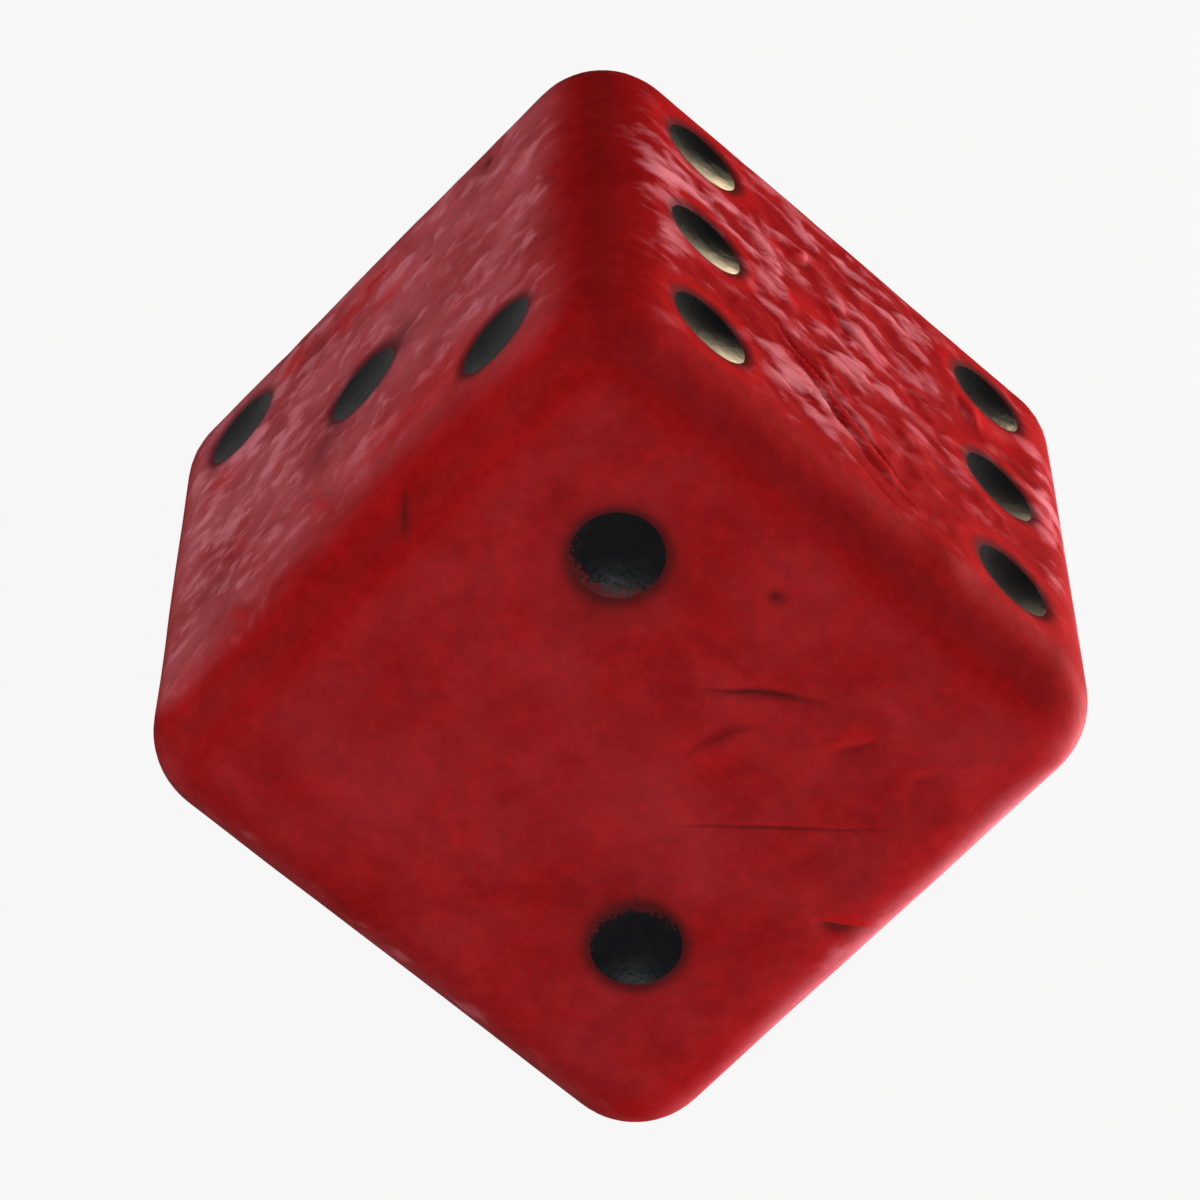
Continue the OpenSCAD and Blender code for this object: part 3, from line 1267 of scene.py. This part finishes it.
        # Dirt on every rounding, with painted shade that makes the roundings facing up and towards -X
        # darker.
        largest = np.abs(self.out).max(1)
        rounding = np.clip((soil_and_light.edge_start - largest) / soil_and_light.edge_span, 0, 1)
        plain, more = soil_and_light.shade_lean
        shade_lean = np.clip(plain + more * (self.out[:, 2] - self.out[:, 0]), 0, 1)
        self.lay(Coat.GRIME, everywhere, soil_and_light.edge_grime_and_shade * rounding * shade_lean)
        self.lay(Coat.HAZE, everywhere, soil_and_light.edge_sheen * rounding)
        past_rim = self.reach - self.form.pip_radius
        width, amount = soil_and_light.ring
        self.lay(Coat.GRIME, everywhere, amount * np.exp(-((past_rim / width) ** 2)))
        width, amount = soil_and_light.halo
        self.lay(Coat.GRIME, everywhere, amount * np.exp(-np.clip(past_rim, 0, None) / width))
        # A painted highlight on the lips of pips that face up.
        start, width, amount = soil_and_light.lip
        lip = np.exp(-(((self.reach - self.form.lip_reach - start) / width) ** 2))
        self.lay(Coat.RUB, everywhere, amount * lip * np.clip(self.out[:, 2], 0, 1))
        for coat, patches in BLOTS.items():
            for patch in patches:
                rows, places = self.on(patch.face)
                self.lay(coat, rows, patch.weight(places) * patch.amount)


# How much film and how much haze each face's flat carries, from 0 to 1; both are partly dust and partly
# painted sheen.
FILM = {Face.ONE: 0.28, Face.TWO: 0.0, Face.THREE: 0.4, Face.FOUR: 0.3, Face.FIVE: 0.28,
        Face.SIX: 0.2}
HAZE = {Face.ONE: 0.06, Face.TWO: 0.042, Face.THREE: 0.24, Face.FOUR: 0.06, Face.FIVE: 0.06,
        Face.SIX: 0.01}

# The patches of each coat, laid or wiped off one after another.
BLOTS = {
    Coat.GRIME: (
        Patch(Face.TWO, (1.3, 3.95), (1.5, 0.25), 0.45, 38.0),
        Patch(Face.TWO, (-3.4, 2.9), (1.5, 0.9), 0.3),
        Patch(Face.TWO, (-2.4, 4.9), (1.2, 0.9), 0.2),
        Patch(Face.TWO, (2.6, -2.3), (1.4, 0.9), 0.28),
        Patch(Face.TWO, (2.0, -3.9), (0.9, 1.3), 0.22),
        Patch(Face.TWO, (-6.0, -4.5), (2.5, 2.5), 0.2),
        Patch(Face.THREE, (0.3, 1.6), (1.2, 0.9), 0.5),
        Patch(Face.THREE, (-1.8, -1.4), (1.0, 0.9), 0.45),
        Patch(Face.THREE, (5.8, 4.6), (1.6, 0.9), 0.35),
        Patch(Face.THREE, (5.5, -2.3), (1.8, 0.8), 0.35),
        Patch(Face.THREE, (-4.0, -5.8), (3.0, 1.2), 0.3),
        Patch(Face.THREE, (7.9, 0.0), (0.5, 6.5), 0.35),
    ),
    # Film patches: dust with painted sheen, and a painted highlight on the right and lower rims of the
    # two.
    Coat.FILM: (
        Patch(Face.SIX, (-5.5, 2.6), (3.4, 1.9), 0.48),
        Patch(Face.SIX, (0.6, 5.9), (4.0, 1.4), 0.5, -4.0),
        Patch(Face.SIX, (-2.0, -4.6), (2.2, 1.8), 0.5, -35.0),
        Patch(Face.SIX, (0.5, 0.5), (5.5, 4.0), 0.5, -20.0),
        Patch(Face.THREE, (3.0, -5.0), (5.0, 2.5), 0.3),
        Patch(Face.SIX, (-6.9, -0.6), (1.0, 3.4), 0.5),
        Patch(Face.SIX, (7.4, 1.5), (0.9, 4.5), 0.5),
        Patch(Face.SIX, (8.9, 0.5), (0.5, 6.5), 0.8),
        Patch(Face.SIX, (0.0, -8.2), (9.0, 0.9), -0.95),
        Patch(Face.THREE, (-7.4, 3.0), (1.7, 6.5), -0.95),
        Patch(Face.THREE, (-6.9, -5.5), (1.0, 3.0), -0.5),
        Patch(Face.THREE, (0.0, 8.4), (9.0, 0.9), -0.8),
        Patch(Face.TWO, (8.7, 0.0), (0.5, 7.5), 0.25),
        Patch(Face.TWO, (0.0, -8.7), (7.5, 0.5), 0.35),
        Patch(Face.SIX, (2.4, 1.4), (1.9, 1.7), -0.4),
        Patch(Face.SIX, (2.2, -3.1), (2.4, 2.4), -0.5),
    ),
    Coat.RUB: (
        Patch(Face.THREE, (6.1, 0.2), (0.6, 0.9), 0.8),
        Patch(Face.THREE, (5.5, -0.9), (0.5, 0.7), 0.7),
        Patch(Face.THREE, (4.3, 0.9), (0.5, 0.6), 0.7),
        Patch(Face.THREE, (6.2, -3.3), (0.7, 0.7), 0.8),
        Patch(Face.THREE, (2.9, -6.1), (0.6, 0.6), 0.8),
        Patch(Face.THREE, (-5.0, 3.4), (1.4, 3.5), 0.75),
        Patch(Face.SIX, (-1.2, 1.4), (0.85, 0.85), 0.7),
        Patch(Face.SIX, (6.15, 3.65), (0.6, 0.6), 0.7),
        Patch(Face.SIX, (-1.3, 4.5), (0.3, 0.3), 0.9),
        Patch(Face.SIX, (-2.86, 3.55), (0.3, 0.3), 0.9),
        Patch(Face.SIX, (-2.3, 0.73), (0.3, 0.3), 0.9),
        Patch(Face.SIX, (5.16, 3.26), (0.3, 0.4), 0.9),
    ),
    # Haze patches: painted highlights on the right rims of the two and six and on the lower rim of the
    # two, and painted sheen on the three.
    Coat.HAZE: (
        Patch(Face.TWO, (9.3, 0.0), (0.6, 8.5), 0.6),
        Patch(Face.SIX, (9.3, 0.5), (0.6, 7.5), 0.7),
        Patch(Face.TWO, (9.4, 7.0), (0.4, 3.0), 0.8),
        Patch(Face.THREE, (3.0, -5.5), (4.0, 2.5), 0.08),
        Patch(Face.THREE, (-7.8, 1.5), (1.5, 7.5), -0.9),
        Patch(Face.THREE, (0.0, 8.2), (9.0, 1.2), -0.9),
        Patch(Face.TWO, (0.0, -9.2), (8.5, 0.7), 0.12),
    ),
}


@dataclass(frozen=True)
class FillTree:
    """The rule for one coat of enamel: a round pool that thins out to a ragged rim.

    Attributes:
        form: The die's sizes.
        profile: The group that gives a bowl's height.
        cells: Mesh cells across the coat.
        enamel_angle: Steepness of the enamel's surface at its rim, in radians.
        rim_angle: Bend, in radians, above which an edge stays crisp.
        rim_height: Thickness of the coat just inside its rim, in millimetres.
        wear_start: Share of the way out where the rim's wear starts.
        rim_wear: Wear at the rim.
        weld: Points nearer to each other than this are one point, in millimetres.
    """

    form: Form
    profile: Tree
    cells: int = 28
    enamel_angle: float = math.radians(17)
    rim_angle: float = math.radians(40)
    rim_height: float = 0.005
    wear_start: float = 0.6
    rim_wear: float = 0.5
    weld: float = 0.001

    def build(self) -> Tree:
        """Builds the tree. Place puts the coat on its face, and Across, Up and Out turn it."""
        form = self.form
        g, given, end = new_tree(
            "Enamel Coat", "GeometryNodeTree",
            {"Radius": form.pip_radius, "Raggedness": 0.05, "Sink": 0.02, "Seed": 0.0,
             "Place": (0.0, 0.0, 0.0), "Across": (1.0, 0.0, 0.0), "Up": (0.0, 1.0, 0.0),
             "Out": (0.0, 0.0, 1.0), "Worn Side": (0.0, 0.0, 0.0), "Wear": 0.3,
             "Material": "NodeSocketMaterial"},
            {"Geometry": GEOMETRY})
        slab = g.node("GeometryNodeMeshCube", None,
                      {"Size": (2.0, 2.0, 2.0), "Vertices X": self.cells + 1,
                       "Vertices Y": self.cells + 1, "Vertices Z": 2})
        x, y, z = g.split(g.node("GeometryNodeInputPosition").outputs[0])
        round_x = g.math("MULTIPLY", x, self.squeeze(g, y))
        round_y = g.math("MULTIPLY", y, self.squeeze(g, x))
        unit = g.join(round_x, round_y, 0.0)
        share = g.measure("LENGTH", unit)
        rag = g.noise(g.vector("NORMALIZE", unit), 1.6, 3.0, 0.6, given["Seed"])
        rag = g.math("MULTIPLY", g.math("SUBTRACT", rag, 0.5), given["Raggedness"])
        radius = g.math("MULTIPLY_ADD", rag, g.math("POWER", share, 3.0), given["Radius"])
        flat = g.scaled(unit, radius)
        distance = g.math("MULTIPLY", share, radius)
        floor = g.group(self.profile, {"Distance": distance})
        coat = self.thickness(g, share, flat, given)
        below = g.math("MULTIPLY", given["Sink"], -1.0)
        height = g.math("ADD", floor, g.between(g.math("GREATER_THAN", z, 0.0), below, coat))
        worn = g.math("MULTIPLY", g.measure("DOT_PRODUCT", unit, given["Worn Side"]), 0.5)
        wear = g.math("ADD", g.ramp(share, self.wear_start, 1.0, 0.0, self.rim_wear), worn)
        wear = g.math("MULTIPLY", wear, given["Wear"], clamp=True)
        kept = keep(g, slab.outputs["Mesh"], "wear", wear)
        moved = shape(g, kept, self.on_face(g, flat, height, given))
        closed = g.node("GeometryNodeMergeByDistance", None,
                        {"Geometry": moved, "Distance": self.weld * MM})
        smooth = g.node("GeometryNodeSetShadeSmooth", None, {"Geometry": closed.outputs[0]})
        bend = g.node("GeometryNodeInputMeshEdgeAngle").outputs["Unsigned Angle"]
        rim = g.math("GREATER_THAN", bend, self.rim_angle)
        crisp = g.node("GeometryNodeSetShadeSmooth", {"domain": "EDGE"},
                       {"Geometry": smooth.outputs[0], "Selection": rim, "Shade Smooth": False})
        dress(g, end, crisp.outputs[0], given["Material"])
        return g.tree

    def on_face(self, g: Graph, flat: Any, height: Any, given: Any) -> Any:
        """The place on the die of a spot in the coat's own plane, at a height above it."""
        x, y, _ = g.split(flat)
        in_plane = g.vector("ADD", g.scaled(given["Across"], x), g.scaled(given["Up"], y))
        lifted = g.vector("ADD", in_plane, g.scaled(given["Out"], height))
        return g.vector("ADD", given["Place"], lifted)

    def squeeze(self, g: Graph, other: Any) -> Any:
        """How much a square's coordinate shrinks, by its other one, as the square turns round."""
        return g.math("SQRT", g.math("MULTIPLY_ADD", g.math("MULTIPLY", other, other), -0.5, 1.0))

    def thickness(self, g: Graph, share: Any, flat: Any, given: Any) -> Any:
        """The coat's thickness above the bowl, with slow ripples, down to its rim's feather edge."""
        form = self.form
        middle = form.pip_radius * (math.tan(form.wall_angle / 2) - math.tan(self.enamel_angle / 2))
        pool = g.math("SUBTRACT", 1.0, g.math("POWER", share, 2.0))
        ripple = g.math("SUBTRACT", g.noise(flat, 1.1, 1.0, seed=given["Seed"]), 0.5)
        depth = g.math("MULTIPLY_ADD", ripple, 0.5, 1.0)
        edge = g.math("SUBTRACT", 1.0, g.math("POWER", share, 6.0))
        return g.math("MULTIPLY_ADD", g.math("MULTIPLY", pool, depth), middle,
                      g.math("MULTIPLY", edge, self.rim_height))


# How far apart the seeds of two coats are.
COAT_SEED_STEP = 7.3
# Where each coat is worn most, across and up its face, and how worn it is.
PLAIN_WEAR = ((0.0, 0.0), 0.45)
WORN = {
    "pip_fill_2a": ((0.2, -1.1), 1.0),
    "pip_fill_2b": ((-1.0, 0.7), 0.95),
}


@dataclass
class PipFills:
    """The coats of enamel, one piece in each pip.

    Attributes:
        form: The die's sizes.
        profile: The group that gives a bowl's height.
        material: The enamel.
    """

    form: Form
    profile: Tree
    material: bpy.types.Material

    def build(self) -> list[bpy.types.Object]:
        """Makes every coat.

        Returns:
            The coats, in place.
        """
        tree = FillTree(self.form, self.profile).build()
        made = []
        for number, pip in enumerate(self.form.pips):
            face = pip.face
            side, wear = WORN.get(pip.node, PLAIN_WEAR)
            values = {
                "Seed": COAT_SEED_STEP * number, "Place": tuple(pip.centre + face.out * self.form.half),
                "Across": tuple(face.across), "Up": tuple(face.up), "Out": tuple(face.out),
                "Worn Side": (*side, 0.0), "Wear": wear, "Material": self.material,
            }
            piece = grow(tree, pip.node.replace("pip_fill", "enamel"), values)
            if np.linalg.det(np.stack([face.across, face.up, face.out])) < 0:
                piece.data.flip_normals()
            made.append(piece)
        return made


@dataclass(frozen=True)
class SoftBox:
    """One studio light, aimed at the die.

    Attributes:
        name: Its name.
        azimuth: Its direction from the die about the vertical, in degrees from +X towards +Y.
        elevation: Its height above the horizon, in degrees.
        distance: Its distance from the die, in millimetres.
        size: Its width, in millimetres.
        power: Its power, in watts.
        colour: Its colour.
        only: The collection of pieces that it lights, where it doesn't light everything.
    """

    name: str
    azimuth: float
    elevation: float
    distance: float
    size: float
    power: float
    colour: Triple
    only: str = ""

    def hang(self, centre: Vector) -> bpy.types.Object:
        """Makes the light, facing the die at centre."""
        way = toward(self.azimuth, self.elevation)
        data = bpy.data.lights.new(self.name, "AREA")
        data.shape = "DISK"
        data.size = self.size * MM
        data.energy = self.power
        data.color = self.colour
        light = add_object(self.name, data)
        light.visible_camera = False
        light.matrix_world = stand(centre + way * self.distance * MM, way)
        if self.only:
            light.light_linking.receiver_collection = bpy.data.collections[self.only]
        return light


# The last word of a line, where there is one, names the only pieces that the light reaches.
SOFT_BOXES = (
    SoftBox("right_front", 355.0, 5.0, 260.0, 60.0, 0.46, (1.0, 0.88, 0.92)),
    SoftBox("right_back", 34.0, 14.0, 260.0, 110.0, 0.56, (1.0, 0.84, 0.82)),
    SoftBox("high_back", 44.0, 38.0, 260.0, 110.0, 0.62, (1.0, 0.88, 0.86), "die_plastic"),
    SoftBox("cream_back", 84.0, 9.0, 260.0, 90.0, 0.2, (1.0, 0.80, 0.50), "pip_enamel"),
    SoftBox("left_side", 200.0, 8.0, 260.0, 110.0, 0.25, (1.0, 0.94, 0.97)),
    SoftBox("right_low", 334.0, 7.0, 260.0, 30.0, 0.09, (1.0, 0.92, 0.96), "die_plastic"),
    SoftBox("front", 266.0, 7.0, 260.0, 120.0, 0.18, (0.97, 0.98, 1.0)),
)


@dataclass(frozen=True)
class Studio:
    """The pale floor, the soft boxes and the pale surroundings.

    Attributes:
        paper: Brightness of the surroundings where the camera sees them.
        surround: Brightness of the surroundings as a light.
        floor_seen: The floor's own glow where the camera sees it; its shade adds the rest.
        floor_glow: The floor's own glow as a light.
        floor_shade: The share of light that the floor scatters.
        floor_reach: Half the floor's width, in millimetres.
    """

    paper: float = 0.947
    surround: float = 0.08
    floor_seen: float = 0.919
    floor_glow: float = 0.24
    floor_shade: float = 0.03
    floor_reach: float = 3000.0

    def build(self, low: Vector, high: Vector) -> None:
        """Sets the studio round a box.

        Args:
            low: The die's lowest corner.
            high: The die's highest corner.
        """
        centre = (low + high) / 2
        for box in SOFT_BOXES:
            box.hang(centre)
        self.lay_floor(low.z)
        self.surroundings()
        bpy.context.scene.view_settings.view_transform = "Standard"

    def lay_floor(self, level: float) -> None:
        """Lays the floor at a height."""
        reach = self.floor_reach * MM
        mesh = bpy.data.meshes.new("floor")
        corners = [(-reach, -reach, level), (reach, -reach, level), (reach, reach, level),
                   (-reach, reach, level)]
        mesh.from_pydata(corners, [], [(0, 1, 2, 3)])
        floor = add_object("floor", mesh)
        g, shader, material = new_material("pale_paper")
        shader.inputs["Base Color"].default_value = (*[self.floor_shade] * 3, 1.0)
        shader.inputs["Roughness"].default_value = 1.0
        shader.inputs["Specular IOR Level"].default_value = 0.0
        shader.inputs["Emission Strength"].default_value = 1.0
        seen = g.node("ShaderNodeLightPath").outputs["Is Camera Ray"]
        glow = g.between(seen, self.floor_glow, self.floor_seen)
        g.put(shader.inputs["Emission Color"], glow)
        mesh.materials.append(material)

    def surroundings(self) -> None:
        """Surrounds the studio with a pale, even light."""
        world = bpy.data.worlds.new("surroundings")
        bpy.context.scene.world = world
        world.use_nodes = True
        g = Graph(world.node_tree)
        seen = g.node("ShaderNodeLightPath").outputs["Is Camera Ray"]
        backdrop = world.node_tree.nodes["Background"]
        backdrop.inputs["Color"].default_value = (1.0, 1.0, 1.0, 1.0)
        g.put(backdrop.inputs["Strength"], g.between(seen, self.surround, self.paper))


def gather_pieces(name: str, pieces: list[bpy.types.Object]) -> None:
    """Lists pieces in a collection, so that a light can be kept to them.

    Args:
        name: The collection's name.
        pieces: The pieces.
    """
    group = bpy.data.collections.new(name)
    for piece in pieces:
        group.objects.link(piece)


def main() -> None:
    """Builds the die, dresses it and lights it."""
    logging.basicConfig(level=logging.INFO, format="%(name)s: %(message)s")
    low, high = CAD_BOX
    Rig().place((low + high) / 2)
    form = Form.from_frame()
    log.info("side %.2f mm, %d pips", 2 * form.half, len(form.pips))
    groups = ShaderGroups()
    profile = bowl_profile(form)
    body = DieBody(form, profile, RedPlastic(groups).build()).build()
    gather_pieces("die_plastic", [body])
    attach(body, "root")
    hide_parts(BODY_NODE)
    log.info("%s: %d faces", body.name, len(body.data.polygons))
    fills = PipFills(form, profile, BlackEnamel(groups).build()).build()
    gather_pieces("pip_enamel", fills)
    for pip, fill in zip(form.pips, fills):
        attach(fill, "root")
        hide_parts(pip.node)
        log.info("%s: %d faces", fill.name, len(fill.data.polygons))
    Studio().build(low, high)


if __name__ == "__main__":
    main()
